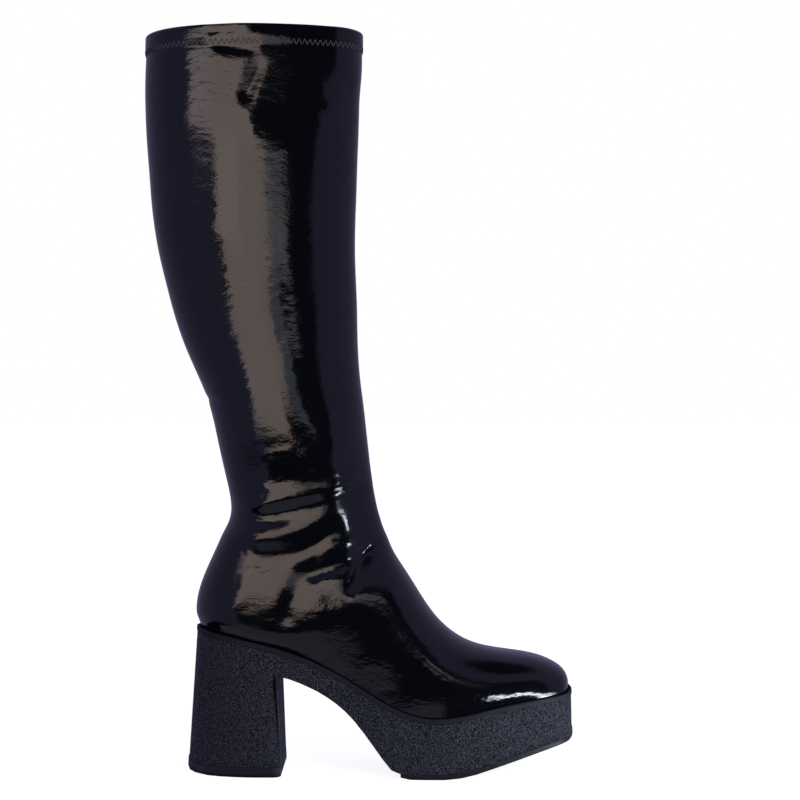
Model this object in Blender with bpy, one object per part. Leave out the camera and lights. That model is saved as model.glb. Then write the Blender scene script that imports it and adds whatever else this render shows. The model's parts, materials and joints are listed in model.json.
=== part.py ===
"""Knee-high patent boot on a moulded platform sole with a block heel, right foot.

Lengths are in millimetres until the meshes are made. X runs forward from the back of the
heel seat, Z up from the floor, and the outer side of the foot is on -Y. The finished boot
stands with the middle of its box over the origin.
"""

import math
from collections import namedtuple

import bmesh
import bpy
import numpy as np
from mathutils import Vector

# Driving sizes
BALL_WIDTH = 80.0          # across the upper at the ball of the foot
ANKLE_WIDTH = 68.0
COLLAR_WIDTH = 88.0        # across the top opening; its depth comes from the section table
COLLAR_BACK = -33.8        # the calf stands out behind the heel
SOLE_TIP = 245.4           # front of the sole
WALL = 1.6                 # patent and lining
HEM_STEP = 0.7             # how far the folded hem stands out over the shaft
PLAY = 0.3                 # space left between pieces
LIP = 2.6                  # thickness of the sole's lip round the upper
TRAY = 2.6                 # depth of the sole's tray inside the lip
LIP_SLOPE = 0.9            # the lip's top slopes down to the upper over this width,
LIP_DROP = 0.5             # by this much
EDGE_ROUND = 0.7           # rounding of the lip's outer edge
LIP_BAND = 3.0             # smooth band under the lip
FOOT_BAND = 1.0            # smooth bead over the top lift and the tread
PANEL_RECESS = 0.5         # how far the grained panel lies behind the bands
SIDE_LEAN = 0.02           # the sole's sides spread this much for each millimetre down
BACK_LEAN = 0.064          # and the back of the heel spreads this much
HEEL_BREAST = 52.6         # front face of the heel, at its root under the arch
HEEL_CORNER = 5.0          # radius of the two upright front corners of the heel
BREAST_LEAN = 0.057        # the front face leans forward going down
ARCH_ROOT = 64.6           # height of the arch where it leaves the heel
ROOT_FILLET = 4.0
TOP_LIFT = 6.5
LIFT_ROUND = 1.5           # rounding of the top lift's lower edge
TREAD = 3.3
TREAD_ROUND = 0.9
TREAD_START = 133.0        # back edge of the tread, where the arch comes down
FLAT_END = 158.0           # end of the forefoot's flat spot
ROCKER_RADIUS = 82.0       # the toe spring: an arc up to the angle, then straight
ROCKER_ANGLE = math.radians(17)
INSOLE = 2.6
INSOLE_BEVEL = 1.4

# Mesh fineness
UPPER_COLUMNS = 30
TOE_COURSES = 1.0          # sections between courses: from the toe's edge to the toe box,
FOOT_COURSES = 0.5         # from there to the back of the heel,
SHAFT_COURSES = 0.7        # and up the shaft
FRONT_STEPS = 5            # stations of the sole across half the toe's edge
ARCH_SPACING = 6.0
STATION_GAP = 2.0          # least distance between stations of the sole
CORNER_TURNS = (0, 30, 60, 90)
FILLET_SHARES = (0.15, 0.45)
CURVE_SAMPLES = 400
WELD = 1e-7
MM = 0.001

# Sections of the upper, from the toe's edge over the vamp and up the shaft. Each one lies in
# a plane across the foot, from its base, on the sole or on the back line, to its ridge, on
# the front line. half: share of the named width; feather: share of half left at the base;
# widest: how far up the section its full width lies; crown: 2 is round on top, more is flatter;
# flank: 2 is upright where widest, less leans in; bow: the same for how it goes forward, so that
# the toe's wall follows its edge; egg: fuller towards the base; swing and lean: sideways shift of
# base and ridge, inner side positive.
Section = namedtuple(
    "Section", "base_x base_z ridge_x ridge_z width half feather widest crown flank bow egg swing lean"
)
SOLE = None                # the height is that of the tray in the sole
SECTIONS = {
    "toe edge": Section(239.2, SOLE, 241.9, SOLE, BALL_WIDTH, 0.265, 1, 0, 2.2, 2.8, 1, 0, 5.3, 5.3),
    "toe wall": Section(238.2, SOLE, 242.4, 56.3, BALL_WIDTH, 0.305, 1, 0, 2.3, 2.8, 1.15, 0, 5.2, 5.2),
    "toe brow": Section(235.8, SOLE, 240.3, 62.3, BALL_WIDTH, 0.342, 1, 0, 2.4, 2.7, 1.4, 0, 5.1, 5.1),
    "toe crown": Section(231.5, SOLE, 235.2, 66.8, BALL_WIDTH, 0.373, 1, 0, 2.45, 2.6, 1.8, 0, 4.9, 4.9),
    "toe top": Section(225, SOLE, 227.6, 70.6, BALL_WIDTH, 0.402, 0.99, 0.08, 2.5, 2.5, 2.2, 0, 4.5, 4.5),
    "toe box": Section(214, SOLE, 214.6, 74.1, BALL_WIDTH, 0.438, 0.975, 0.18, 2.5, 2.4, 2.4, 0, 3.8, 4),
    "toes": Section(198, SOLE, 197.2, 76.8, BALL_WIDTH, 0.478, 0.97, 0.22, 2.4, 2.25, 2.25, 0, 2.7, 3.2),
    "ball": Section(180, SOLE, 178.8, 81.4, BALL_WIDTH, 0.5, 0.97, 0.25, 2.25, 2.3, 2.3, 0, 1.2, 2.4),
    "vamp": Section(161, SOLE, 163.6, 90.8, BALL_WIDTH, 0.5, 0.97, 0.3, 2.12, 2.3, 2.3, 0, -0.4, 1.9),
    "throat": Section(141, SOLE, 152.2, 103.3, BALL_WIDTH, 0.474, 0.97, 0.36, 2.05, 2.4, 2.4, 0, -1.7, 1.5),
    "waist": Section(120, SOLE, 142.2, 118.7, BALL_WIDTH, 0.44, 0.965, 0.48, 2, 2.6, 2.6, 0, -2.3, 1.2),
    "instep": Section(98, SOLE, 134.2, 131.3, BALL_WIDTH, 0.425, 0.937, 0.56, 2, 2.6, 2.6, 0, -2.1, 0.9),
    "seat front": Section(75, SOLE, 128, 141.3, BALL_WIDTH, 0.4275, 0.91, 0.45, 2, 2.5, 2.5, 0, -1.2, 0.6),
    "seat": Section(52, SOLE, 124.2, 150, BALL_WIDTH, 0.4325, 0.896, 0.22, 2, 2.6, 2.6, 0, -0.4, 0.3),
    "heel side": Section(33.3, SOLE, 120.8, 158, BALL_WIDTH, 0.436, 0.889, 0.155, 2, 2.65, 2.65, 0, 0, 0),
    "heel round": Section(17.8, SOLE, 118.6, 165, BALL_WIDTH, 0.435, 0.772, 0.19, 2, 2.6, 2.6, 0, 0, 0),
    "heel turn": Section(6.45, SOLE, 117, 171, BALL_WIDTH, 0.43, 0.451, 0.25, 2, 2.5, 2.5, 0, 0, 0),
    "heel back": Section(2.3, SOLE, 115.8, 177, BALL_WIDTH, 0.4275, 0, 0.28, 2, 2.4, 2.4, 0, 0, 0),
    "counter": Section(1, 106, 114.5, 185, ANKLE_WIDTH, 0.484, 0, 0.335, 2, 2.25, 2.25, 0.02, 0, 0),
    "counter top": Section(5.4, 125, 113.2, 194.5, ANKLE_WIDTH, 0.4735, 0, 0.385, 2, 2.12, 2.12, 0.03, 0, 0),
    "achilles": Section(14, 146.5, 111.8, 205.5, ANKLE_WIDTH, 0.488, 0, 0.44, 2, 2.04, 2.04, 0.04, 0, 0),
    "ankle": Section(19.7, 168, 110.3, 219, ANKLE_WIDTH, 0.532, 0, 0.485, 2, 2, 2, 0.05, 0, 0),
    "shin foot": Section(17.1, 189, 108.4, 237, ANKLE_WIDTH, 0.565, 0, 0.5, 2, 2, 2, 0.06, 0, 0),
    "calf foot": Section(12.7, 214, 106.1, 255, COLLAR_WIDTH, 0.448, 0, 0.5, 2, 2, 2, 0.07, 0, 0),
    "calf low": Section(5.7, 242.5, 104.7, 276, COLLAR_WIDTH, 0.458, 0, 0.5, 2, 2, 2, 0.08, 0, 0),
    "calf middle": Section(-7.3, 273, 104.2, 299, COLLAR_WIDTH, 0.47, 0, 0.5, 2, 2, 2, 0.08, 0, 0),
    "calf": Section(-18.9, 310, 103.3, 325, COLLAR_WIDTH, 0.487, 0, 0.5, 2, 2, 2, 0.08, 0, 0),
    "calf full": Section(-27.7, 350, 103.2, 357, COLLAR_WIDTH, 0.5, 0, 0.5, 2, 2, 2, 0.07, 0, 0),
    "calf top": Section(-31.8, 392, 104.4, 395, COLLAR_WIDTH, 0.505, 0, 0.5, 2, 2, 2, 0.06, 0, 0),
    "under hem": Section(-33.3, 436, 106, 437.5, COLLAR_WIDTH, 0.503, 0, 0.5, 2, 2, 2, 0.05, 0, 0),
    "hem": Section(-32.8, 462.9, 106.5, 464.9, COLLAR_WIDTH, 0.501, 0, 0.5, 2, 2, 2, 0.05, 0, 0),
    "rim": Section(-32.6, 476.5, 106.3, 479.3, COLLAR_WIDTH, 0.5, 0, 0.5, 2, 2, 2, 0.05, 0, 0),
}
HEEL_BACK = list(SECTIONS).index("heel back")

# Height of the sole's top edge, and of the arch's underside, along the foot
Level = namedtuple("Level", "x height")
TOP_EDGE = [
    Level(0.0, 94.0), Level(20.0, 89.9), Level(40.0, 85.3), Level(60.0, 79.7), Level(80.0, 72.1),
    Level(100.0, 61.6), Level(120.0, 49.4), Level(140.0, 40.4), Level(160.0, 38.4), Level(180.0, 41.6),
    Level(200.0, 45.9), Level(220.0, 49.0), Level(240.0, 51.9), Level(260.0, 55.0),
]
ARCH = [
    Level(HEEL_BREAST, ARCH_ROOT), Level(60.0, 63.0), Level(70.0, 59.4), Level(80.0, 54.8), Level(90.0, 48.6),
    Level(100.0, 40.2), Level(110.0, 28.4), Level(120.0, 14.8), Level(128.0, 5.0), Level(136.0, 0.2),
    Level(144.0, 0.0),
]


def spline(knots, values):
    """Smooth curve through the values, as a function of the knot."""
    knots = np.array(knots, float)
    values = np.array(values, float)
    gaps = np.diff(knots)
    slopes = np.diff(values) / gaps
    system = np.eye(len(knots))
    pull = np.zeros(len(knots))
    for i in range(1, len(knots) - 1):
        system[i, i - 1:i + 2] = gaps[i - 1], 2 * (gaps[i - 1] + gaps[i]), gaps[i]
        pull[i] = 6 * (slopes[i] - slopes[i - 1])
    bends = np.linalg.solve(system, pull)

    def at(knot):
        i = int(np.clip(np.searchsorted(knots, knot) - 1, 0, len(knots) - 2))
        after = (knot - knots[i]) / gaps[i]
        before = 1 - after
        sag = (before**3 - before) * bends[i] + (after**3 - after) * bends[i + 1]
        return before * values[i] + after * values[i + 1] + sag * gaps[i] ** 2 / 6

    return at


def blend(share):
    """Ease from 0 to 1 as the share goes from 0 to 1."""
    share = min(max(share, 0.0), 1.0)
    return share * share * (3 - 2 * share)


top_edge = spline([level.x for level in TOP_EDGE], [level.height for level in TOP_EDGE])
arch = spline([level.x for level in ARCH], [level.height for level in ARCH])


def base_height(x):
    """Height of the upper's lower edge, standing in the sole's tray."""
    return top_edge(x) - TRAY + PLAY


def underside(x):
    """Height of the sole's underside in front of the heel: arch, flat spot and toe spring."""
    along = x - FLAT_END
    reach = ROCKER_RADIUS * math.sin(ROCKER_ANGLE)
    if along < 0:
        return max(0.0, arch(min(x, ARCH[-1].x)))
    if along < reach:
        return ROCKER_RADIUS - math.sqrt(ROCKER_RADIUS**2 - along**2)
    return ROCKER_RADIUS * (1 - math.cos(ROCKER_ANGLE)) + (along - reach) * math.tan(ROCKER_ANGLE)


def section_columns():
    """The section table as smooth curves of the section's number, one for each column."""
    rows = []
    for section in SECTIONS.values():
        base_z = base_height(section.base_x) if section.base_z is SOLE else section.base_z
        ridge_z = base_height(section.ridge_x) if section.ridge_z is SOLE else section.ridge_z
        half = section.half * section.width
        feather_y = section.feather * half
        rows.append(section._replace(base_z=base_z, ridge_z=ridge_z, half=half, feather=feather_y))
    base = np.array([(row.base_x, row.base_z) for row in rows])
    ridge = np.array([(row.ridge_x, row.ridge_z) for row in rows])
    steps = np.linalg.norm(np.diff(base, axis=0), axis=1) + np.linalg.norm(np.diff(ridge, axis=0), axis=1)
    knots = np.concatenate([[0.0], np.cumsum(steps)])
    curves = {name: spline(knots, [getattr(row, name) for row in rows]) for name in Section._fields}

    # On the sole the base runs round the heel, so there it goes on into its mirror image
    foot, there = rows[:HEEL_BACK + 1], knots[:HEEL_BACK + 1]
    beyond = 2 * there[-1] - there[-2:-5:-1]
    base_x = [row.base_x for row in foot]
    width = [row.feather for row in foot]
    curves["sole_x"] = spline([*there, *beyond], base_x + base_x[-2:-5:-1])
    curves["feather"] = spline([*there, *beyond], width + [-one for one in width[-2:-5:-1]])
    curves["back_x"] = spline(knots[HEEL_BACK:], [row.base_x for row in rows[HEEL_BACK:]])
    curves["back_z"] = spline(knots[HEEL_BACK:], [row.base_z for row in rows[HEEL_BACK:]])
    return lambda name, number: float(curves[name](np.interp(number, range(len(rows)), knots)))


column = section_columns()


def base_spot(number):
    """Base of a section in the side view: on the sole, then up the back line."""
    if number > HEEL_BACK:
        return Vector((column("back_x", number), column("swing", number), column("back_z", number)))
    x = column("sole_x", number)
    return Vector((x, column("swing", number), base_height(x)))


def ridge_spot(number):
    """Ridge of a section in the side view; at the toe's edge it lies on the sole."""
    x = column("ridge_x", number)
    return Vector((x, column("lean", number), max(column("ridge_z", number), base_height(x))))


def feather(number):
    """Half-width of the upper at its base; nothing is left from the back of the heel upwards."""
    return max(column("feather", number), 0.0) if number < HEEL_BACK else 0.0


def section_side(number, steps):
    """Points up one side of a section, evenly spaced from base to ridge: middle line and half-width."""
    half, egg = column("half", number), column("egg", number)
    widest = max(column("widest", number), 0.0)
    start = -math.acos(min(feather(number) / half, 1.0))
    turn = np.linspace(start, math.pi / 2, CURVE_SAMPLES)
    rise, cross = np.sin(turn), np.maximum(np.cos(turn), 0.0)
    low = widest * (1 - rise / math.sin(start)) if start < 0 else np.zeros_like(turn)
    up, forward = [
        np.where(turn < 0, low, widest + (1 - widest) * np.maximum(rise, 0.0) ** (2 / column(name, number)))
        for name in ("flank", "bow")
    ]
    across = half * np.where(turn < 0, cross, cross ** (2 / column("crown", number)))
    across *= 1 + egg * (1 - 2 * up)
    base, ridge = np.array(base_spot(number)), np.array(ridge_spot(number))
    middle = base + (ridge - base) * np.column_stack([forward, up, up])
    walk = np.column_stack([middle[:, 0], across, middle[:, 2]])
    gone = np.concatenate([[0.0], np.cumsum(np.linalg.norm(np.diff(walk, axis=0), axis=1))])
    even = np.linspace(0.0, gone[-1], steps + 1)
    return np.column_stack([np.interp(even, gone, values) for values in (*middle.T, across)])


def upper_course(number, steps):
    """Points of the upper's outer face along one section, from the outer base to the inner base."""
    outer, inner = [], []
    for x, y, z, width in section_side(number, steps // 2):
        outer.append(Vector((x, y - width, z)))
        inner.append(Vector((x, y + width, z)))
    return outer + inner[-2::-1]


def base_plan():
    """The base line seen from above, heel to toe: both sides with outward normals, and distance gone."""
    numbers = np.linspace(HEEL_BACK, 0.0, CURVE_SAMPLES)
    outer = [(base_spot(n).x, base_spot(n).y - feather(n)) for n in numbers]
    inner = [(base_spot(n).x, base_spot(n).y + feather(n)) for n in numbers]
    front = upper_course(0.0, CURVE_SAMPLES // 4)
    turn = len(front) // 2
    outer += [(spot.x, spot.y) for spot in front[1:turn + 1]]
    inner += [(spot.x, spot.y) for spot in front[-2:turn - 1:-1]]
    sides = []
    for line, hand in ((outer, -1.0), (inner, 1.0)):
        line = np.array(line)
        run = np.gradient(line, axis=0)
        normal = np.column_stack([-hand * run[:, 1], hand * run[:, 0]])
        normal[0], normal[-1] = (-1.0, 0.0), (1.0, 0.0)
        normal /= np.linalg.norm(normal, axis=1)[:, None]
        sides.append((line, normal))
    steps = np.linalg.norm(np.diff(sides[0][0], axis=0), axis=1)
    return sides, np.concatenate([[0.0], np.cumsum(steps)])


PLAN_SIDES, PLAN_GONE = base_plan()


def gone_at(x):
    """Distance round the base line at which it passes a place along the foot."""
    return float(np.interp(x, PLAN_SIDES[0][0][:, 0], PLAN_GONE))


def x_at(gone):
    return float(np.interp(gone, PLAN_GONE, PLAN_SIDES[0][0][:, 0]))


def plan_spot(side, gone, offset):
    """Point of the base line moved outwards by the offset, and its outward normal."""
    line, normal = PLAN_SIDES[side]
    spot = [np.interp(gone, PLAN_GONE, line[:, axis] + offset * normal[:, axis]) for axis in (0, 1)]
    return Vector((*spot, 0.0)), float(np.interp(gone, PLAN_GONE, normal[:, 0]))


def spaced(start, end, spacing):
    """Values from start to end, evenly spaced, with both ends."""
    return list(np.linspace(start, end, max(1, round((end - start) / spacing)) + 1))


TOE_BOX = list(SECTIONS).index("toe box")
FOOT_NUMBERS = spaced(0.0, TOE_BOX, TOE_COURSES) + spaced(TOE_BOX, HEEL_BACK, FOOT_COURSES)[1:]
SHAFT_NUMBERS = spaced(HEEL_BACK, len(SECTIONS) - 2, SHAFT_COURSES)[1:]

# Stations of the pieces under the upper; round heel and toe they stand at the upper's own courses
TOE_CORNER = gone_at(base_spot(0.0).x)
SEAT_STATIONS = [gone_at(base_spot(number).x) for number in reversed(FOOT_NUMBERS)]
SEAT_STATIONS += list(np.linspace(TOE_CORNER, PLAN_GONE[-1], FRONT_STEPS + 1))[1:]
CORNER_START = HEEL_BREAST - HEEL_CORNER
HEEL_STATIONS = [gone for gone in SEAT_STATIONS if x_at(gone) < CORNER_START - STATION_GAP]
HEEL_STATIONS += [gone_at(CORNER_START + HEEL_CORNER * math.sin(math.radians(turn))) for turn in CORNER_TURNS]
ROOT_STATIONS = [gone_at(HEEL_BREAST + ROOT_FILLET * share) for share in FILLET_SHARES]
ARCH_STATIONS = spaced(gone_at(HEEL_BREAST + ROOT_FILLET), gone_at(TREAD_START), ARCH_SPACING)[:-1]
TREAD_STATIONS = spaced(gone_at(TREAD_START), gone_at(FLAT_END), ARCH_SPACING)
TREAD_STATIONS += [gone for gone in SEAT_STATIONS if x_at(gone) > FLAT_END + STATION_GAP]
SOLE_STATIONS = HEEL_STATIONS + ROOT_STATIONS + ARCH_STATIONS + TREAD_STATIONS


def side_spread(gone, height, out):
    """How far the sole's side has spread at a height, over its top edge; out: the normal's share of X."""
    lean = SIDE_LEAN + (BACK_LEAN - SIDE_LEAN) * max(0.0, -out) ** 2
    return lean * (top_edge(x_at(gone)) - height)


def on_heel(gone):
    return gone <= HEEL_STATIONS[-1]


def heel_corner(gone, height):
    """Inset that rounds the heel's front corners, below the root of the arch."""
    along = max(x_at(gone) - CORNER_START, 0.0)
    if not on_heel(gone):
        return 0.0
    inset = HEEL_CORNER - math.sqrt(max(HEEL_CORNER**2 - along**2, 0.0))
    return inset * blend((ARCH_ROOT - height) / ROOT_FILLET)


def breast_shift(gone, height):
    """How far the heel's front part has moved forward at a height below the root of the arch."""
    if not on_heel(gone):
        return 0.0
    return blend(x_at(gone) / HEEL_BREAST) * BREAST_LEAN * max(0.0, ARCH_ROOT - height)


def sole_foot(gone):
    """Height of the moulded unit's lower face: over the top lift, up the arch, over the tread."""
    x = x_at(gone)
    if on_heel(gone):
        return TOP_LIFT + PLAY
    fillet = max(0.0, ROOT_FILLET - (x - HEEL_BREAST))
    drop = ROOT_FILLET - math.sqrt(ROOT_FILLET**2 - fillet**2)
    return max(underside(x) - drop, underside(max(x, FLAT_END)) + TREAD + PLAY)


EDGE = PLAY + LIP          # the sole's outer edge, out from the base line
BEVEL = 1 - math.sqrt(0.5) # how far in the middle of a rounded edge lies, as a share of its radius
Ring = namedtuple("Ring", "offset height closes", defaults=[False])
CLOSES = True              # the ring is drawn in to the middle line, and closes the piece


def sole_rings(gone):
    """Rings of the moulded unit at a station, from the tray over the lip to the lower face."""
    top, foot = top_edge(x_at(gone)), sole_foot(gone)
    panel = EDGE - PANEL_RECESS
    panel_top, panel_foot = top - LIP_BAND - PANEL_RECESS, foot + FOOT_BAND + PANEL_RECESS
    root, neck = ARCH_ROOT + FOOT_BAND, ARCH_ROOT - ROOT_FILLET
    if not on_heel(gone):
        root, neck = (panel_foot + (panel_top - panel_foot) * share for share in (0.2, 0.1))
    between = CORNER_START < x_at(gone) < TREAD_START - STATION_GAP
    rim = panel if between else EDGE
    return [
        Ring(PLAY, top - TRAY, CLOSES),
        Ring(PLAY, top - TRAY),
        Ring(PLAY + LIP_SLOPE, top - LIP_DROP),
        Ring(EDGE - EDGE_ROUND, top),
        Ring(EDGE, top - EDGE_ROUND),
        Ring(EDGE, top - LIP_BAND),
        Ring(panel, panel_top),
        Ring(panel, root),
        Ring(panel, neck),
        Ring(panel, panel_foot),
        Ring(rim, foot + FOOT_BAND),
        Ring(rim, foot),
        Ring(rim, foot, CLOSES),
    ]


def lift_rings(gone):
    """Rings of the heel's top lift, with a rounded lower edge."""
    return [
        Ring(EDGE, TOP_LIFT, CLOSES),
        Ring(EDGE, TOP_LIFT),
        Ring(EDGE, LIFT_ROUND),
        Ring(EDGE - LIFT_ROUND * BEVEL, LIFT_ROUND * BEVEL),
        Ring(EDGE - LIFT_ROUND, 0.0),
        Ring(EDGE - LIFT_ROUND, 0.0, CLOSES),
    ]


def tread_rings(gone):
    """Rings of the forefoot tread: its lower face comes down the arch and goes up the toe spring."""
    x = x_at(gone)
    top, foot = underside(max(x, FLAT_END)) + TREAD, underside(x)
    return [
        Ring(EDGE, top, CLOSES),
        Ring(EDGE, top),
        Ring(EDGE, foot + TREAD_ROUND),
        Ring(EDGE - TREAD_ROUND, foot),
        Ring(EDGE - TREAD_ROUND, foot, CLOSES),
    ]


def insole_rings(gone):
    """Rings of the insole, which lies on the tray inside the upper's lower edge."""
    seat = base_height(x_at(gone))
    side = -(WALL + PLAY)
    return [
        Ring(side - INSOLE_BEVEL, seat + INSOLE, CLOSES),
        Ring(side - INSOLE_BEVEL, seat + INSOLE),
        Ring(side, seat),
        Ring(side, seat, CLOSES),
    ]


def ringed_courses(stations, rings):
    """Courses round the foot, one for each ring, from the middle of the back round and back again."""
    stacks = [rings(gone) for gone in stations]
    courses = []
    for level in range(len(stacks[0])):
        outer, inner = [], []
        for gone, stack in zip(stations, stacks):
            ring = stack[level]
            for side, line in ((0, outer), (1, inner)):
                _, out = plan_spot(side, gone, EDGE)
                offset = ring.offset
                if ring.height < top_edge(x_at(gone)) - TRAY:
                    offset += side_spread(gone, ring.height, out) - heel_corner(gone, ring.height)
                spot, _ = plan_spot(side, gone, offset)
                line.append(spot + Vector((breast_shift(gone, ring.height), 0.0, ring.height)))
        back, front = (outer[0] + inner[0]) / 2, (outer[-1] + inner[-1]) / 2
        if ring.closes:
            outer = inner = [(left + right) / 2 for left, right in zip(outer, inner)]
        courses.append([back] + inner + [front] + outer[::-1] + [back])
    return courses


def clear_scene():
    for item in list(bpy.data.objects):
        bpy.data.objects.remove(item)


def formed_sheet(name, courses, colour, roughness):
    """Object made from a flat grid: its rows are laid on the courses of points and welded where they meet."""
    form = bmesh.new()
    bmesh.ops.create_grid(form, x_segments=len(courses[0]) - 1, y_segments=len(courses) - 1, size=1)
    form.verts.ensure_lookup_table()
    to_box = Vector(((COLLAR_BACK + SOLE_TIP) / 2, 0.0, 0.0))
    spots = [spot for course in courses for spot in course]
    for vertex, spot in zip(form.verts, spots):
        vertex.co = (spot - to_box) * MM
    bmesh.ops.remove_doubles(form, verts=form.verts, dist=WELD)
    mesh = bpy.data.meshes.new(name)
    form.to_mesh(mesh)
    form.free()
    piece = bpy.data.objects.new(name, mesh)
    bpy.context.collection.objects.link(piece)
    material = bpy.data.materials.new(name)
    material.use_nodes = True
    shader = material.node_tree.nodes["Principled BSDF"]
    shader.inputs["Base Color"].default_value = (*colour, 1.0)
    shader.inputs["Roughness"].default_value = roughness
    mesh.materials.append(material)
    return piece


def stood_out(course):
    """A course of the hem, which stands out all round over the shaft's own shape."""
    middle = sum(course, Vector()) / len(course)
    ways = [Vector((spot.x - middle.x, spot.y - middle.y, 0.0)).normalized() for spot in course]
    return [spot + way * HEM_STEP for spot, way in zip(course, ways)]


def upper():
    """Patent sleeve from toe to collar, open underneath and at the top, with a folded hem."""
    courses = [upper_course(number, UPPER_COLUMNS) for number in FOOT_NUMBERS + SHAFT_NUMBERS]
    hem = [spot + Vector((0.0, 0.0, HEM_STEP)) for spot in courses[-1]]
    courses += [stood_out(hem), stood_out(upper_course(len(SECTIONS) - 1, UPPER_COLUMNS))]
    piece = formed_sheet("upper", courses, (0.012, 0.011, 0.016), 0.15)
    wall = piece.modifiers.new("wall", "SOLIDIFY")
    wall.thickness = WALL * MM
    wall.offset = -1.0
    wall.use_even_offset = True
    wall.use_quality_normals = True
    return piece


clear_scene()
upper()
formed_sheet("platform_sole", ringed_courses(SOLE_STATIONS, sole_rings), (0.03, 0.03, 0.036), 0.5)
formed_sheet("heel_top_lift", ringed_courses(HEEL_STATIONS, lift_rings), (0.02, 0.02, 0.024), 0.55)
formed_sheet("forefoot_tread", ringed_courses(TREAD_STATIONS, tread_rings), (0.02, 0.02, 0.024), 0.55)
formed_sheet("insole", ringed_courses(SEAT_STATIONS, insole_rings), (0.02, 0.02, 0.02), 0.8)
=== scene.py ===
"""Looks of a knee-high black patent boot on a grained platform sole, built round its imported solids."""

import json
import math
from collections import namedtuple

import bmesh
import bpy
import numpy as np
from mathutils import Matrix, Vector, noise

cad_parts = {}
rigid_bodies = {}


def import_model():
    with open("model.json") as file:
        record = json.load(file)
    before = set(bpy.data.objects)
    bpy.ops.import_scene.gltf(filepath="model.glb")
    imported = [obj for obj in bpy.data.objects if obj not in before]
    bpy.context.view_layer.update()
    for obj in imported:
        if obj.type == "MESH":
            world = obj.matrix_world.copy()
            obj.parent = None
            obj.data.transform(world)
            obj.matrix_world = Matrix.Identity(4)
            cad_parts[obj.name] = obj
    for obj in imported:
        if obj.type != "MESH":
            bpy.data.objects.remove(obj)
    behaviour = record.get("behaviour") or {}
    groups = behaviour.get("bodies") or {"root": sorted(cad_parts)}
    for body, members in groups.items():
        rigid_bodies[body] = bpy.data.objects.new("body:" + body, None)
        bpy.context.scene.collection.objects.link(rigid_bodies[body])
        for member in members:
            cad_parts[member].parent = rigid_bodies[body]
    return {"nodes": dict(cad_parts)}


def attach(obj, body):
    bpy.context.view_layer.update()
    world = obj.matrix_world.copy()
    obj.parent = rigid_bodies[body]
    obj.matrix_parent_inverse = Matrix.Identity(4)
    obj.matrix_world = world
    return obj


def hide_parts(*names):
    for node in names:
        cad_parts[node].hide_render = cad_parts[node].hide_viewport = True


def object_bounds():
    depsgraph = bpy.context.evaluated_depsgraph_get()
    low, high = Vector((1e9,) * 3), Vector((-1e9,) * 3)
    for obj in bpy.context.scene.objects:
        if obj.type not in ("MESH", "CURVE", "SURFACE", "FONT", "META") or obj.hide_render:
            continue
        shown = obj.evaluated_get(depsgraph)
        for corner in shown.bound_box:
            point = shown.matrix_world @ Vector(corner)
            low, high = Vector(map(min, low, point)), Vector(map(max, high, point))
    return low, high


for item in list(bpy.data.objects):
    bpy.data.objects.remove(item)
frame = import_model()
cad_low, cad_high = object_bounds()

# Upper
# One sleeve of black patent, vamp and shaft together, lasted and cemented into the sole's tray.
# Its sections, in millimetres, run from the toe's edge over the vamp and up the shaft, as in the
# solid: X forward from the back of the heel seat, Z up, outer side on -Y.
MM = 0.001
BALL_WIDTH = 80.0
ANKLE_WIDTH = 68.0
COLLAR_WIDTH = 88.0
SOLE_TIP = 245.4
TRAY = 2.6                 # depth of the sole's tray
PLAY = 0.3                 # space left between pieces
WELD = 1e-7                # points closer than this, in metres, are one
TINY = 1e-9                # keeps a division by zero away
Level = namedtuple("Level", "x height")
SOLE_TOP_EDGE = [
    Level(0.0, 94.0), Level(20.0, 89.9), Level(40.0, 85.3), Level(60.0, 79.7), Level(80.0, 72.1),
    Level(100.0, 61.6), Level(120.0, 49.4), Level(140.0, 40.4), Level(160.0, 38.4), Level(180.0, 41.6),
    Level(200.0, 45.9), Level(220.0, 49.0), Level(240.0, 51.9), Level(260.0, 55.0),
]
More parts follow.
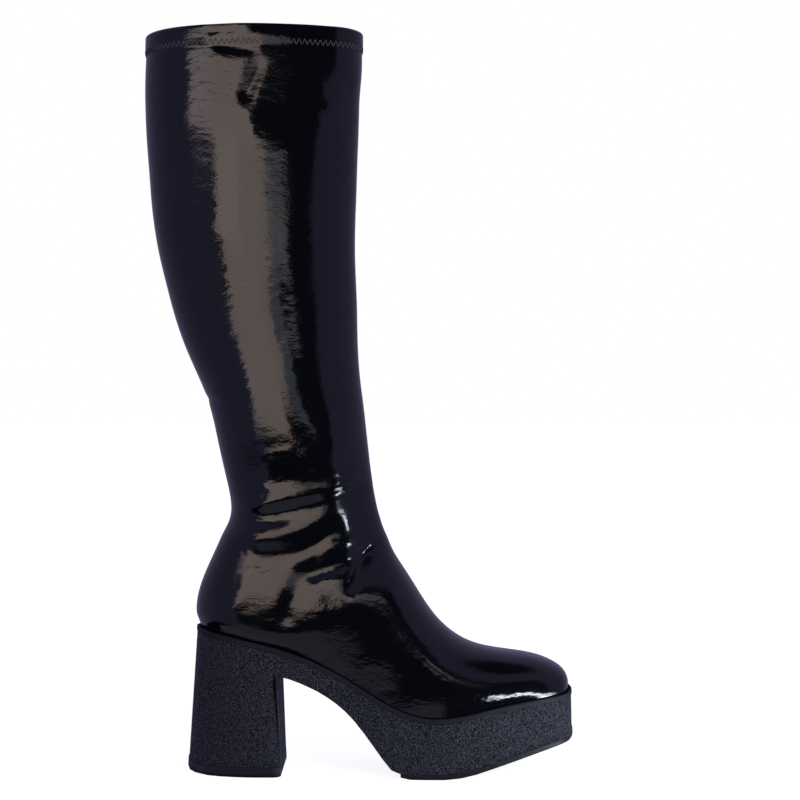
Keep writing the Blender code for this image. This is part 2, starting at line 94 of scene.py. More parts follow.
# half: share of the width; feather: share of half left at the base; widest: how far up the full
# width lies; crown, flank, bow: roundness across, upwards and forwards; egg: fuller at the base;
# swing and lean: sideways shift of base and ridge.
Section = namedtuple(
    "Section", "base_x base_z ridge_x ridge_z width half feather widest crown flank bow egg swing lean"
)
SOLE = None                # the height is that of the tray in the sole
SECTIONS = {
    "toe edge": Section(239.2, SOLE, 241.9, SOLE, BALL_WIDTH, 0.265, 1, 0, 2.2, 2.8, 1, 0, 5.3, 5.3),
    "toe wall": Section(238.2, SOLE, 242.4, 56.3, BALL_WIDTH, 0.305, 1, 0, 2.3, 2.8, 1.15, 0, 5.2, 5.2),
    "toe brow": Section(235.8, SOLE, 240.3, 62.3, BALL_WIDTH, 0.342, 1, 0, 2.4, 2.7, 1.4, 0, 5.1, 5.1),
    "toe crown": Section(231.5, SOLE, 235.2, 66.8, BALL_WIDTH, 0.373, 1, 0, 2.45, 2.6, 1.8, 0, 4.9, 4.9),
    "toe top": Section(225, SOLE, 227.6, 70.6, BALL_WIDTH, 0.402, 0.99, 0.08, 2.5, 2.5, 2.2, 0, 4.5, 4.5),
    "toe box": Section(214, SOLE, 214.6, 74.1, BALL_WIDTH, 0.438, 0.975, 0.18, 2.5, 2.4, 2.4, 0, 3.8, 4),
    "toes": Section(198, SOLE, 197.2, 76.8, BALL_WIDTH, 0.478, 0.97, 0.22, 2.4, 2.25, 2.25, 0, 2.7, 3.2),
    "ball": Section(180, SOLE, 178.8, 81.4, BALL_WIDTH, 0.5, 0.97, 0.25, 2.25, 2.3, 2.3, 0, 1.2, 2.4),
    "vamp": Section(161, SOLE, 163.6, 90.8, BALL_WIDTH, 0.5, 0.97, 0.3, 2.12, 2.3, 2.3, 0, -0.4, 1.9),
    "throat": Section(141, SOLE, 152.2, 103.3, BALL_WIDTH, 0.474, 0.97, 0.36, 2.05, 2.4, 2.4, 0, -1.7, 1.5),
    "waist": Section(120, SOLE, 142.2, 118.7, BALL_WIDTH, 0.44, 0.965, 0.48, 2, 2.6, 2.6, 0, -2.3, 1.2),
    "instep": Section(98, SOLE, 134.2, 131.3, BALL_WIDTH, 0.425, 0.937, 0.56, 2, 2.6, 2.6, 0, -2.1, 0.9),
    "seat front": Section(75, SOLE, 128, 141.3, BALL_WIDTH, 0.4275, 0.91, 0.45, 2, 2.5, 2.5, 0, -1.2, 0.6),
    "seat": Section(52, SOLE, 124.2, 150, BALL_WIDTH, 0.4325, 0.896, 0.22, 2, 2.6, 2.6, 0, -0.4, 0.3),
    "heel side": Section(33.3, SOLE, 120.8, 158, BALL_WIDTH, 0.436, 0.889, 0.155, 2, 2.65, 2.65, 0, 0, 0),
    "heel round": Section(17.8, SOLE, 118.6, 165, BALL_WIDTH, 0.435, 0.772, 0.19, 2, 2.6, 2.6, 0, 0, 0),
    "heel turn": Section(6.45, SOLE, 117, 171, BALL_WIDTH, 0.43, 0.451, 0.25, 2, 2.5, 2.5, 0, 0, 0),
    "heel back": Section(2.3, SOLE, 115.8, 177, BALL_WIDTH, 0.4275, 0, 0.28, 2, 2.4, 2.4, 0, 0, 0),
    "counter": Section(1, 106, 114.5, 185, ANKLE_WIDTH, 0.484, 0, 0.335, 2, 2.25, 2.25, 0.02, 0, 0),
    "counter top": Section(5.4, 125, 113.2, 194.5, ANKLE_WIDTH, 0.4735, 0, 0.385, 2, 2.12, 2.12, 0.03, 0, 0),
    "achilles": Section(14, 146.5, 111.8, 205.5, ANKLE_WIDTH, 0.488, 0, 0.44, 2, 2.04, 2.04, 0.04, 0, 0),
    "ankle": Section(19.7, 168, 110.3, 219, ANKLE_WIDTH, 0.532, 0, 0.485, 2, 2, 2, 0.05, 0, 0),
    "shin foot": Section(17.1, 189, 108.4, 237, ANKLE_WIDTH, 0.565, 0, 0.5, 2, 2, 2, 0.06, 0, 0),
    "calf foot": Section(12.7, 214, 106.1, 255, COLLAR_WIDTH, 0.448, 0, 0.5, 2, 2, 2, 0.07, 0, 0),
    "calf low": Section(5.7, 242.5, 104.7, 276, COLLAR_WIDTH, 0.458, 0, 0.5, 2, 2, 2, 0.08, 0, 0),
    "calf middle": Section(-7.3, 273, 104.2, 299, COLLAR_WIDTH, 0.47, 0, 0.5, 2, 2, 2, 0.08, 0, 0),
    "calf": Section(-18.9, 310, 103.3, 325, COLLAR_WIDTH, 0.487, 0, 0.5, 2, 2, 2, 0.08, 0, 0),
    "calf full": Section(-27.7, 350, 103.2, 357, COLLAR_WIDTH, 0.5, 0, 0.5, 2, 2, 2, 0.07, 0, 0),
    "calf top": Section(-31.8, 392, 104.4, 395, COLLAR_WIDTH, 0.505, 0, 0.5, 2, 2, 2, 0.06, 0, 0),
    "under hem": Section(-33.3, 436, 106, 437.5, COLLAR_WIDTH, 0.503, 0, 0.5, 2, 2, 2, 0.05, 0, 0),
    "hem": Section(-32.8, 462.9, 106.5, 464.9, COLLAR_WIDTH, 0.501, 0, 0.5, 2, 2, 2, 0.05, 0, 0),
    "rim": Section(-32.6, 476.5, 106.3, 479.3, COLLAR_WIDTH, 0.5, 0, 0.5, 2, 2, 2, 0.05, 0, 0),
}
HEEL_BACK = list(SECTIONS).index("heel back")
RIM = list(SECTIONS).index("rim")
SKIN_COLUMNS = 240         # faces round the skin
COURSE_SPACING = 3.0       # base and ridge together move on this far from course to course
CURVE_SAMPLES = 400        # points walked along half a course

# Creases, each a soft trough or ridge along an arc in the side view, as soft patent takes them over
# an empty ankle. sag: how far the arc's middle bends upwards; height: ridges positive; above and
# below: half its breadth on the left and on the right of its run; wrap: the inner side's share.
Crease = namedtuple("Crease", "x z to_x to_z sag height above below wrap")
CREASES = {
    "ankle narrowing": Crease(-5, 174, 86, 186, 0, -1.9, 31, 16, 0.8),
    "counter swell": Crease(-25, 112, 112, 88, 0, 2.6, 36, 36, 0.8),
    "shin swell": Crease(90, 250, 94, 110, 0, 2.2, 14, 14, 0.4),
    "fold 1": Crease(18, 171, 114, 196, -6, 2.7, 7, 5, 0.6),
    "under fold 1": Crease(4, 163, 74, 172, -4, -2.3, 10, 8, 0.6),
    "fold 2": Crease(14, 160, 100, 185, -18, 2.2, 9, 10, 0.7),
    "under fold 2": Crease(14, 156, 100, 163, -20, -2.0, 10, 12, 0.5),
    "fold 3": Crease(56, 133, 98, 152, -1, 1.0, 4, 4, 0.5),
    "under fold 3": Crease(58, 124, 122, 148, -2, -1.6, 5, 6, 0.6),
    "heel groove": Crease(71, 130, 56, 92, 0, -0.9, 7, 7, 0),
    "bend fold": Crease(115, 152, 98, 112, 2.5, -1.9, 4.5, 4.5, 0.8),
    "instep ridge": Crease(86, 140, 136, 56, 0, 1.6, 12, 16, 0.3),
    "shaft hollow": Crease(10, 192, 86, 200, 0, -1.0, 23, 24, 0),
    "shaft ridge": Crease(40, 204, 68, 208.5, 0, 0.35, 2.6, 2.6, 0.2),
    "back kink": Crease(2, 242, 18, 238, 0, -0.7, 2.4, 2.4, 1),
    "collar hollow": Crease(58, 515, 66, 396, 0, -2.0, 26, 26, 0.5),
    "calf swell": Crease(-20, 515, -14, 380, 0, 1.5, 24, 24, 0.6),
    "collar front": Crease(99, 520, 97, 432, 0, 2.2, 15, 9, 0.4),
    "hem dent": Crease(8, 474, 30, 472, 0, -0.9, 5, 5, 0),
    "hem pucker": Crease(10, 467, 46, 462, -2, -1.0, 5, 4, 0),
    "collar slant": Crease(47, 459, 31, 424, 0, -1.0, 5, 5, 0),
    "shin pinch": Crease(100, 458, 97, 408, 2, -0.6, 4, 4, 0.4),
    "shin slant": Crease(84, 424, 100, 440, 0, 0.5, 4.5, 4.5, 0.2),
}
TAPER = 0.3                # share of a crease's length over which each end fades
SLACK_HEIGHT = 0.35        # height of the skin's slow unevenness on the shaft
SLACK_SCALE = 0.028        # and how often it comes, per millimetre
SEATED = 9.0               # height above the sole over which the creases come in
FIRM_SHARE = 0.3           # the lasted foot is firmer than the shaft
FIRM_BELOW, SLACK_ABOVE = 110.0, 210.0
SIDE_TURN = 0.5            # a skin turned this far to the inner side counts as the inner side

# Hem: the top edge folded in over itself, fuller than the shaft and drawn in along its stitches
HEM_FULL = 0.7
HEM_START = 13.6           # below the rim
STITCH_DROP = 11.2         # below the rim
STITCH_DRAW = 0.45
STITCH_DRAW_SPREAD = 2.2
HEM_THICK = 2.9
ROLL_STEPS = 8
FACING_STEPS = 6

# Finish
PATENT_BLACK = (0.004, 0.004, 0.006, 1.0)
PATENT_IOR = 1.52
WRINKLE_DEPTH = 0.00022    # in metres, as the shader needs it
CRINKLE_DEPTH = 0.00008


def spline(knots, values):
    """Smooth curve through the values, as a function of the knot."""
    knots = np.array(knots, float)
    values = np.array(values, float)
    gaps = np.diff(knots)
    slopes = np.diff(values) / gaps
    system = np.eye(len(knots))
    pull = np.zeros(len(knots))
    for i in range(1, len(knots) - 1):
        system[i, i - 1:i + 2] = gaps[i - 1], 2 * (gaps[i - 1] + gaps[i]), gaps[i]
        pull[i] = 6 * (slopes[i] - slopes[i - 1])
    bends = np.linalg.solve(system, pull)

    def at(knot):
        i = int(np.clip(np.searchsorted(knots, knot) - 1, 0, len(knots) - 2))
        after = (knot - knots[i]) / gaps[i]
        before = 1 - after
        sag = (before**3 - before) * bends[i] + (after**3 - after) * bends[i + 1]
        return before * values[i] + after * values[i + 1] + sag * gaps[i] ** 2 / 6

    return at


def blend(share):
    """Ease from 0 to 1 as the share goes from 0 to 1."""
    share = np.clip(share, 0.0, 1.0)
    return share * share * (3 - 2 * share)


sole_top = spline([level.x for level in SOLE_TOP_EDGE], [level.height for level in SOLE_TOP_EDGE])


def base_height(x):
    """Height of the upper's lower edge, standing in the sole's tray."""
    return sole_top(x) - TRAY + PLAY


def section_columns():
    """The section table as smooth curves of the section's number, and the sections' knots."""
    rows = []
    for section in SECTIONS.values():
        base_z = base_height(section.base_x) if section.base_z is SOLE else section.base_z
        ridge_z = base_height(section.ridge_x) if section.ridge_z is SOLE else section.ridge_z
        half = section.half * section.width
        feather = section.feather * half
        rows.append(section._replace(base_z=base_z, ridge_z=ridge_z, half=half, feather=feather))
    base = np.array([(row.base_x, row.base_z) for row in rows])
    ridge = np.array([(row.ridge_x, row.ridge_z) for row in rows])
    steps = np.linalg.norm(np.diff(base, axis=0), axis=1) + np.linalg.norm(np.diff(ridge, axis=0), axis=1)
    knots = np.concatenate([[0.0], np.cumsum(steps)])
    curves = {name: spline(knots, [getattr(row, name) for row in rows]) for name in Section._fields}

    # On the sole the base runs round the heel, so there it goes on into its mirror image
    foot, there = rows[:HEEL_BACK + 1], knots[:HEEL_BACK + 1]
    mirrored = slice(-2, -5, -1)
    beyond = 2 * there[-1] - there[mirrored]
    base_x = [row.base_x for row in foot]
    width = [row.feather for row in foot]
    curves["sole_x"] = spline([*there, *beyond], base_x + base_x[mirrored])
    curves["feather"] = spline([*there, *beyond], width + [-one for one in width[mirrored]])
    curves["back_x"] = spline(knots[HEEL_BACK:], [row.base_x for row in rows[HEEL_BACK:]])
    curves["back_z"] = spline(knots[HEEL_BACK:], [row.base_z for row in rows[HEEL_BACK:]])
    numbers = range(len(rows))
    return lambda name, number: float(curves[name](np.interp(number, numbers, knots))), knots


column, section_knots = section_columns()


def section_ends(number):
    """Base and ridge of a section: the base is on the sole, then on the back line."""
    ridge_x = column("ridge_x", number)
    ridge = np.array([ridge_x, column("lean", number), max(column("ridge_z", number), base_height(ridge_x))])
    if number > HEEL_BACK:
        return np.array([column("back_x", number), column("swing", number), column("back_z", number)]), ridge
    base_x = column("sole_x", number)
    return np.array([base_x, column("swing", number), base_height(base_x)]), ridge


def upper_course(number, steps):
    """Points of the upper's face along one section, from the outer base over the ridge to the inner base."""
    half, egg = column("half", number), column("egg", number)
    widest = max(column("widest", number), 0.0)
    feather = max(column("feather", number), 0.0) if number < HEEL_BACK else 0.0
    start = -math.acos(min(feather / half, 1.0))
    turn = np.linspace(start, math.pi / 2, CURVE_SAMPLES)
    rise, cross = np.sin(turn), np.maximum(np.cos(turn), 0.0)
    low = widest * (1 - rise / math.sin(start)) if start < 0 else np.zeros_like(turn)
    up, forward = [
        np.where(turn < 0, low, widest + (1 - widest) * np.maximum(rise, 0.0) ** (2 / column(name, number)))
        for name in ("flank", "bow")
    ]
    across = half * np.where(turn < 0, cross, cross ** (2 / column("crown", number)))
    across *= 1 + egg * (1 - 2 * up)
    base, ridge = section_ends(number)
    middle = base + (ridge - base) * np.column_stack([forward, up, up])
    walk = np.column_stack([middle[:, 0], across, middle[:, 2]])
    gone = np.concatenate([[0.0], np.cumsum(np.linalg.norm(np.diff(walk, axis=0), axis=1))])
    even = np.linspace(0.0, gone[-1], steps // 2 + 1)
    side = np.column_stack([np.interp(even, gone, values) for values in (*middle.T, across)])
    sideways = np.outer(side[:, 3], (0.0, 1.0, 0.0))
    outer, inner = side[:, :3] - sideways, side[:, :3] + sideways
    return np.vstack([outer, inner[-2::-1]])


def outward(courses):
    """Outward normals of a grid of courses; where a course closes, its two ends share one."""
    along = np.gradient(courses, axis=1)
    onwards = np.gradient(courses, axis=0)
    closed = np.linalg.norm(courses[:, 0] - courses[:, -1], axis=1) < PLAY
    closing = courses[closed, 1] - courses[closed, -2]
    along[closed, 0] = closing
    along[closed, -1] = closing
    normals = np.cross(along, onwards)
    return normals / np.maximum(np.linalg.norm(normals, axis=2, keepdims=True), TINY)


def creased(courses):
    """The courses with the creases and the skin's slack laid on them."""
    normals = outward(courses)
    x, z = courses[:, :, 0], courses[:, :, 2]
    near = blend(SIDE_TURN - normals[:, :, 1])
    lift = np.zeros_like(x)
    for crease in CREASES.values():
        run_x, run_z = crease.to_x - crease.x, crease.to_z - crease.z
        along = np.clip(((x - crease.x) * run_x + (z - crease.z) * run_z) / (run_x**2 + run_z**2), 0.0, 1.0)
        arc_z = crease.z + run_z * along + 4 * crease.sag * along * (1 - along)
        off_x, off_z = x - crease.x - run_x * along, z - arc_z
        spread = np.where(run_x * off_z > run_z * off_x, crease.above, crease.below)
        fade = blend(along / TAPER) * blend((1 - along) / TAPER)
        side = crease.wrap + (1 - crease.wrap) * near
        lift += crease.height * np.exp(-(np.hypot(off_x, off_z) / spread) ** 2) * fade * side
    lift *= blend((z - np.vectorize(sole_top)(np.maximum(x, 0.0))) / SEATED)
    slack = np.array([noise.noise(Vector(spot) * SLACK_SCALE) for spot in courses.reshape(-1, 3)])
    firm = FIRM_SHARE + (1 - FIRM_SHARE) * blend((z - FIRM_BELOW) / (SLACK_ABOVE - FIRM_BELOW))
    lift += SLACK_HEIGHT * firm * slack.reshape(x.shape)
    return courses + normals * lift[:, :, None]


def hemmed(courses):
    """The courses with the top filled out as a hem, drawn in along its stitches and folded inwards."""
    top = courses[-1]
    drop = top[None, :, 2] - courses[:, :, 2]
    full = HEM_FULL * blend((HEM_START - drop) / STITCH_DRAW_SPREAD)
    full -= STITCH_DRAW * np.exp(-((drop - STITCH_DROP) / STITCH_DRAW_SPREAD) ** 2)
    outwards = top - top.mean(axis=0)
    outwards[:, 2] = 0.0
    outwards /= np.linalg.norm(outwards, axis=1, keepdims=True)
    courses = courses + full[:, :, None] * outwards
    radius = HEM_THICK / 2
    brow = courses[-1] - (0.0, 0.0, radius)
    courses[:, :, 2] = np.minimum(courses[:, :, 2], brow[None, :, 2])
    courses[-1] = brow
    roll = []
    for turn in np.linspace(0.0, math.pi, ROLL_STEPS)[1:]:
        up = np.array([0.0, 0.0, radius * math.sin(turn)])
        roll.append(brow - outwards * radius * (1 - math.cos(turn)) + up)
    facing = [roll[-1] - (0.0, 0.0, HEM_START * step / FACING_STEPS) for step in range(1, FACING_STEPS + 1)]
    return np.concatenate([courses, np.array(roll + facing)])


def laid_grid(name, courses, material):
    """Piece made from a flat grid: its rows are laid on the courses of points and welded where they meet."""
    form = bmesh.new()
    bmesh.ops.create_grid(form, x_segments=courses.shape[1] - 1, y_segments=courses.shape[0] - 1, size=1)
    form.verts.ensure_lookup_table()
    to_frame = np.array([cad_high.x / MM - SOLE_TIP, 0.0, 0.0])
    for vertex, spot in zip(form.verts, (courses.reshape(-1, 3) + to_frame) * MM):
        vertex.co = spot
    bmesh.ops.remove_doubles(form, verts=form.verts, dist=WELD)
    return piece_from(form, name, material)


def piece_from(form, name, *materials):
    """Object made from a finished bmesh, smooth all over, riding with the boot."""
    for face in form.faces:
        face.smooth = True
    mesh = bpy.data.meshes.new(name)
    form.to_mesh(mesh)
    form.free()
    for material in materials:
        mesh.materials.append(material)
    piece = bpy.data.objects.new(name, mesh)
    bpy.context.scene.collection.objects.link(piece)
    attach(piece, "root")
    return piece


def node(tree, kind, inputs=None, **settings):
    """New shader node with its settings, and with its inputs set to values or linked to other nodes."""
    made = tree.nodes.new(kind)
    for name, value in settings.items():
        setattr(made, name, value)
    for key, value in (inputs or {}).items():
        if isinstance(value, bpy.types.NodeSocket):
            tree.links.new(value, made.inputs[key])
        else:
            made.inputs[key].default_value = value
    return made


def new_finish(name):
    """New material: its node tree, its Principled shader and the piece's own coordinates."""
    material = bpy.data.materials.new(name)
    material.use_nodes = True
    tree = material.node_tree
    coords = node(tree, "ShaderNodeTexCoord").outputs["Object"]
    return material, tree, tree.nodes["Principled BSDF"], coords


def patent():
    """Black patent: a deep gloss broken up by a fine crinkle that comes and goes."""
    material, tree, shader, coords = new_finish("black_patent")
    flat = node(tree, "ShaderNodeMapping", {"Vector": coords, "Scale": (0.55, 0.55, 1.0)})
    crinkle = node(
        tree, "ShaderNodeTexNoise",
        {"Vector": flat.outputs["Vector"], "Scale": 1000.0, "Detail": 2.0, "Roughness": 0.6},
    )
    patches = node(tree, "ShaderNodeTexNoise", {"Vector": coords, "Scale": 26.0, "Detail": 1.0})
    where = node(
        tree, "ShaderNodeMapRange",
        {"Value": patches.outputs["Fac"], "From Min": 0.4, "From Max": 0.65, "To Min": 0.35, "To Max": 1.0},
    )
    height = node(
        tree, "ShaderNodeMath", {0: crinkle.outputs["Fac"], 1: where.outputs["Result"]}, operation="MULTIPLY"
    )
    wrinkle = node(
        tree, "ShaderNodeTexNoise", {"Vector": flat.outputs["Vector"], "Scale": 190.0, "Detail": 2.0}
    )
    soft = node(tree, "ShaderNodeBump", {"Height": wrinkle.outputs["Fac"], "Distance": WRINKLE_DEPTH})
    fine = node(
        tree, "ShaderNodeBump",
        {"Height": height.outputs["Value"], "Distance": CRINKLE_DEPTH, "Normal": soft.outputs["Normal"]},
    )
    sheen = node(
        tree, "ShaderNodeMapRange",
        {"Value": patches.outputs["Fac"], "From Min": 0.3, "From Max": 0.7, "To Min": 0.07, "To Max": 0.13},
    )
    tree.links.new(sheen.outputs["Result"], shader.inputs["Roughness"])
    tree.links.new(fine.outputs["Normal"], shader.inputs["Normal"])
    shader.inputs["Base Color"].default_value = PATENT_BLACK
    shader.inputs["IOR"].default_value = PATENT_IOR
    return material


course_knots = np.arange(0.0, section_knots[-1], COURSE_SPACING)
course_numbers = [*np.interp(course_knots, section_knots, range(len(SECTIONS))), RIM]
skin = creased(np.array([upper_course(number, SKIN_COLUMNS) for number in course_numbers]))
patent_finish = patent()
hemmed_skin = hemmed(skin)
upper = laid_grid("upper_patent", hemmed_skin, patent_finish)
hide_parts("upper")

# Hem stitch
# Charcoal thread in a zigzag round the hem, which holds the folded edge down and draws it in.
# Every stitch is a plump leg between the upper and the lower row of needle holes.
STITCH_PITCH = 3.5
STITCH_ROWS = 3.9          # distance between the rows of needle holes
THREAD = 0.7
STITCH_PROUD = 0.15        # how far the thread's middle lies out from the skin
STITCH_COURSES = 16        # topmost courses of the skin, which hold the stitches
THREAD_CHARCOAL = (0.1, 0.1, 0.11, 1.0)
TWIST_DEPTH = 0.00005


def stitch_row(drop, points):
    """Points spread evenly round the hem at a drop below the rim, just proud of the drawn-in skin."""
    near_rim = hemmed_skin[len(skin) - STITCH_COURSES:len(skin)]
    ring = np.array([
        [np.interp(rim[2] - drop, line[:, 2], line[:, axis]) for axis in range(3)]
        for rim, line in zip(skin[-1], near_rim.transpose(1, 0, 2))
    ])
    gone = np.concatenate([[0.0], np.cumsum(np.linalg.norm(np.diff(ring, axis=0), axis=1))])
    even = np.linspace(0.0, gone[-1], points + 1)[:-1]
    ring = np.column_stack([np.interp(even, gone, values) for values in ring.T])
    outwards = ring - ring.mean(axis=0)
    outwards[:, 2] = 0.0
    outwards /= np.linalg.norm(outwards, axis=1, keepdims=True)
    return ring + outwards * STITCH_PROUD


def hem_stitch():
    """All the stitches as one mesh."""
    round_the_hem = np.linalg.norm(np.diff(skin[-1], axis=0), axis=1).sum()
    legs = 2 * round(round_the_hem / STITCH_PITCH)
    high = stitch_row(STITCH_DROP - STITCH_ROWS / 2, legs)
    low = stitch_row(STITCH_DROP + STITCH_ROWS / 2, legs)
    to_frame = Vector((cad_high.x / MM - SOLE_TIP, 0.0, 0.0))
    form = bmesh.new()
    for i in range(legs):
        first, second = (high, low) if i % 2 else (low, high)
        start, end = Vector(first[i]), Vector(second[(i + 1) % legs])
        lie = (end - start).to_track_quat("Z", "X").to_matrix().to_4x4()
        size = Matrix.Diagonal((THREAD / 2, THREAD / 2, (end - start).length / 2 + THREAD / 4, 1.0))
        place = Matrix.Scale(MM, 4) @ Matrix.Translation((start + end) / 2 + to_frame) @ lie @ size
        bmesh.ops.create_icosphere(form, subdivisions=2, radius=1.0, matrix=place)
    return form


def thread():
    """Polyester thread: charcoal with a soft shine and a faint twist."""
    material, tree, shader, coords = new_finish("charcoal_thread")
    twist = node(tree, "ShaderNodeTexWave", {"Vector": coords, "Scale": 1400.0, "Distortion": 2.0})
    bump = node(tree, "ShaderNodeBump", {"Height": twist.outputs["Fac"], "Distance": TWIST_DEPTH})
    tree.links.new(bump.outputs["Normal"], shader.inputs["Normal"])
    shader.inputs["Base Color"].default_value = THREAD_CHARCOAL
    shader.inputs["Roughness"].default_value = 0.3
    return material


piece_from(hem_stitch(), "hem_stitch", thread())

# Lining
# Thin black jersey bonded to the back of the patent, so it follows every fold. It runs from the
# insole up to under the folded hem.
LINING_BEHIND = 1.2
LINING_THICK = 0.4
LINING_EVERY = 3           # the lining takes every third point of the skin
LINING_TOP = 8.0           # below the rim, under the hem's facing
KNIT_BLACK = (0.012, 0.012, 0.014, 1.0)
KNIT_FUZZ = (0.03, 0.03, 0.034, 1.0)
RIB_DEPTH = 0.0002


def knit():
    """Black jersey knit: fine ribs with a soft surface."""
    material, tree, shader, coords = new_finish("black_knit")
    ribs = node(tree, "ShaderNodeTexWave", {"Vector": coords, "Scale": 420.0, "Distortion": 1.5})
    fuzz = node(tree, "ShaderNodeTexNoise", {"Vector": coords, "Scale": 1500.0, "Detail": 2.0})
    colour = node(
        tree, "ShaderNodeMixRGB",
        {"Fac": fuzz.outputs["Fac"], "Color1": KNIT_BLACK, "Color2": KNIT_FUZZ},
    )
    bump = node(tree, "ShaderNodeBump", {"Height": ribs.outputs["Fac"], "Distance": RIB_DEPTH})
    tree.links.new(colour.outputs["Color"], shader.inputs["Base Color"])
    tree.links.new(bump.outputs["Normal"], shader.inputs["Normal"])
    shader.inputs["Roughness"].default_value = 0.85
    return material


knit_finish = knit()
lining_last = max(c for c in range(len(skin)) if skin[c, 0, 2] < skin[-1, 0, 2] - LINING_TOP)
lining_courses = [*range(0, lining_last, LINING_EVERY), lining_last]
lining_columns = [*range(0, SKIN_COLUMNS, LINING_EVERY), SKIN_COLUMNS]
backed = (skin - outward(skin) * LINING_BEHIND)[lining_courses][:, lining_columns]
lining = laid_grid("lining", backed, knit_finish)
lining_wall = lining.modifiers.new("thickness", "SOLIDIFY")
lining_wall.thickness = LINING_THICK * MM
lining_wall.offset = -1.0

# Insole
# Board covered with the same black knit. It lies in the sole's tray inside the upper, and closes
# the upper underneath.
HARD_EDGE = math.radians(32)
SPLIT_POINT = 1e-6         # a solid's triangles keep their own points, up to this far apart


def dressed(name, cad_node, *materials):
    """Piece from a copy of a solid's mesh: triangles merged, smooth but for its hard edges."""
    form = bmesh.new()
    form.from_mesh(frame["nodes"][cad_node].data)
    bmesh.ops.remove_doubles(form, verts=form.verts, dist=SPLIT_POINT)
    for edge in form.edges:
        edge.smooth = edge.is_manifold and edge.calc_face_angle() < HARD_EDGE
    for layer in form.loops.layers.float_vector.values():
        form.loops.layers.float_vector.remove(layer)
    piece = piece_from(form, name, *materials)
    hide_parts(cad_node)
    return piece


dressed("insole_board", "insole", knit_finish)

# Platform sole
# One moulded unit of dark rubber: platform, arch and block heel, cemented under the lasted upper.
# The mould leaves a close pebble all round its sides, and the lip round its top comes out smooth.
SOLE_COLOUR = (0.048, 0.051, 0.068, 1.0)
# painted shade: the colour of the pebble's hollows, near black
PAINTED_PEBBLE_SHADE = (0.001, 0.001, 0.002, 1.0)
LIP_COLOUR = (0.021, 0.021, 0.028, 1.0)
LIP_BAND = 3.4             # height of the smooth band, from the sole's top edge down
PEBBLE_DEPTH = 0.0014
FLOW_DEPTH = 0.0002
FLOW_GLOSS = 0.08          # the flow marks change the roughness by this much
LIP_SLOT = 1               # the sole's second finish


def pebbled_rubber():
    """Rubber with the mould's close pebble, its hollows duller than its tops and painted darker as shade."""
    material, tree, shader, coords = new_finish("pebbled_rubber")
    pebble = node(
        tree, "ShaderNodeTexNoise", {"Vector": coords, "Scale": 1050.0, "Detail": 1.0, "Roughness": 0.5}
    )
    tops = node(
        tree, "ShaderNodeMapRange",
        {"Value": pebble.outputs["Fac"], "From Min": 0.38, "From Max": 0.62, "To Min": 0.0, "To Max": 1.0},
    )
    # painted shade: the colour goes dark in the hollows between the pebble's tops
    colour = node(
        tree, "ShaderNodeMixRGB",
        {"Fac": tops.outputs["Result"], "Color1": PAINTED_PEBBLE_SHADE, "Color2": SOLE_COLOUR},
    )
    sheen = node(tree, "ShaderNodeMapRange", {"Value": tops.outputs["Result"], "To Min": 0.9, "To Max": 0.35})
    bump = node(tree, "ShaderNodeBump", {"Height": pebble.outputs["Fac"], "Distance": PEBBLE_DEPTH})
    tree.links.new(colour.outputs["Color"], shader.inputs["Base Color"])
    tree.links.new(sheen.outputs["Result"], shader.inputs["Roughness"])
    tree.links.new(bump.outputs["Normal"], shader.inputs["Normal"])
    shader.inputs["Specular IOR Level"].default_value = 0.45
    return material


def smooth_rubber(name, colour, roughness, specular):
    """Rubber from a polished part of the mould, with faint flow marks."""
    material, tree, shader, coords = new_finish(name)
    flow = node(tree, "ShaderNodeTexNoise", {"Vector": coords, "Scale": 90.0, "Detail": 4.0})
    gloss = node(
        tree, "ShaderNodeMapRange",
        {"Value": flow.outputs["Fac"], "To Min": roughness - FLOW_GLOSS, "To Max": roughness + FLOW_GLOSS},
    )
    bump = node(tree, "ShaderNodeBump", {"Height": flow.outputs["Fac"], "Distance": FLOW_DEPTH})
    tree.links.new(gloss.outputs["Result"], shader.inputs["Roughness"])
    tree.links.new(bump.outputs["Normal"], shader.inputs["Normal"])
    shader.inputs["Base Color"].default_value = colour
    shader.inputs["Specular IOR Level"].default_value = specular
    return material


lip_finish = smooth_rubber("lip_rubber", LIP_COLOUR, roughness=0.6, specular=0.2)
sole = dressed("sole_unit", "platform_sole", pebbled_rubber(), lip_finish)
for face in sole.data.polygons:
    along_sole = face.center.x / MM - cad_high.x / MM + SOLE_TIP
    if face.center.z / MM > sole_top(along_sole) - LIP_BAND:
        face.material_index = LIP_SLOT

# Wear pieces
# The heel's top lift and the forefoot tread: thin smooth rubber, a shade darker than the moulded
# unit and cemented under it.
WEAR_COLOUR = (0.016, 0.016, 0.020, 1.0)
wear_finish = smooth_rubber("wear_rubber", WEAR_COLOUR, roughness=0.5, specular=0.3)
dressed("top_lift", "heel_top_lift", wear_finish)
dressed("tread", "forefoot_tread", wear_finish)

# Studio
# A plain pale floor in a white surround, and soft light from a bank of warm panels on the camera's
# side. The patent mirrors the panels and a dim blue room, and not the floor or the surround.
# Places and sizes are in metres here.
FLOOR_SIZE = 40.0
FLOOR_PAINT = (0.9, 0.9, 0.9, 1.0)
FLOOR_GLOW = 0.9
SURROUND = (1.0, 1.0, 1.0, 1.0)
ROOM = (0.195, 0.19, 0.36, 1.0)
BACK_ROOM = (0.20, 0.19, 0.32, 1.0)
DARK_ROOM = (0.008, 0.012, 0.02, 1.0)


def pale_floor():
    """Matt white floor that stays white in the photograph's exposure."""
    material, _, shader, _ = new_finish("pale_floor")
    shader.inputs["Base Color"].default_value = FLOOR_PAINT
    shader.inputs["Roughness"].default_value = 1.0
    shader.inputs["Specular IOR Level"].default_value = 0.0
    shader.inputs["Emission Color"].default_value = SURROUND
    shader.inputs["Emission Strength"].default_value = FLOOR_GLOW
    return material


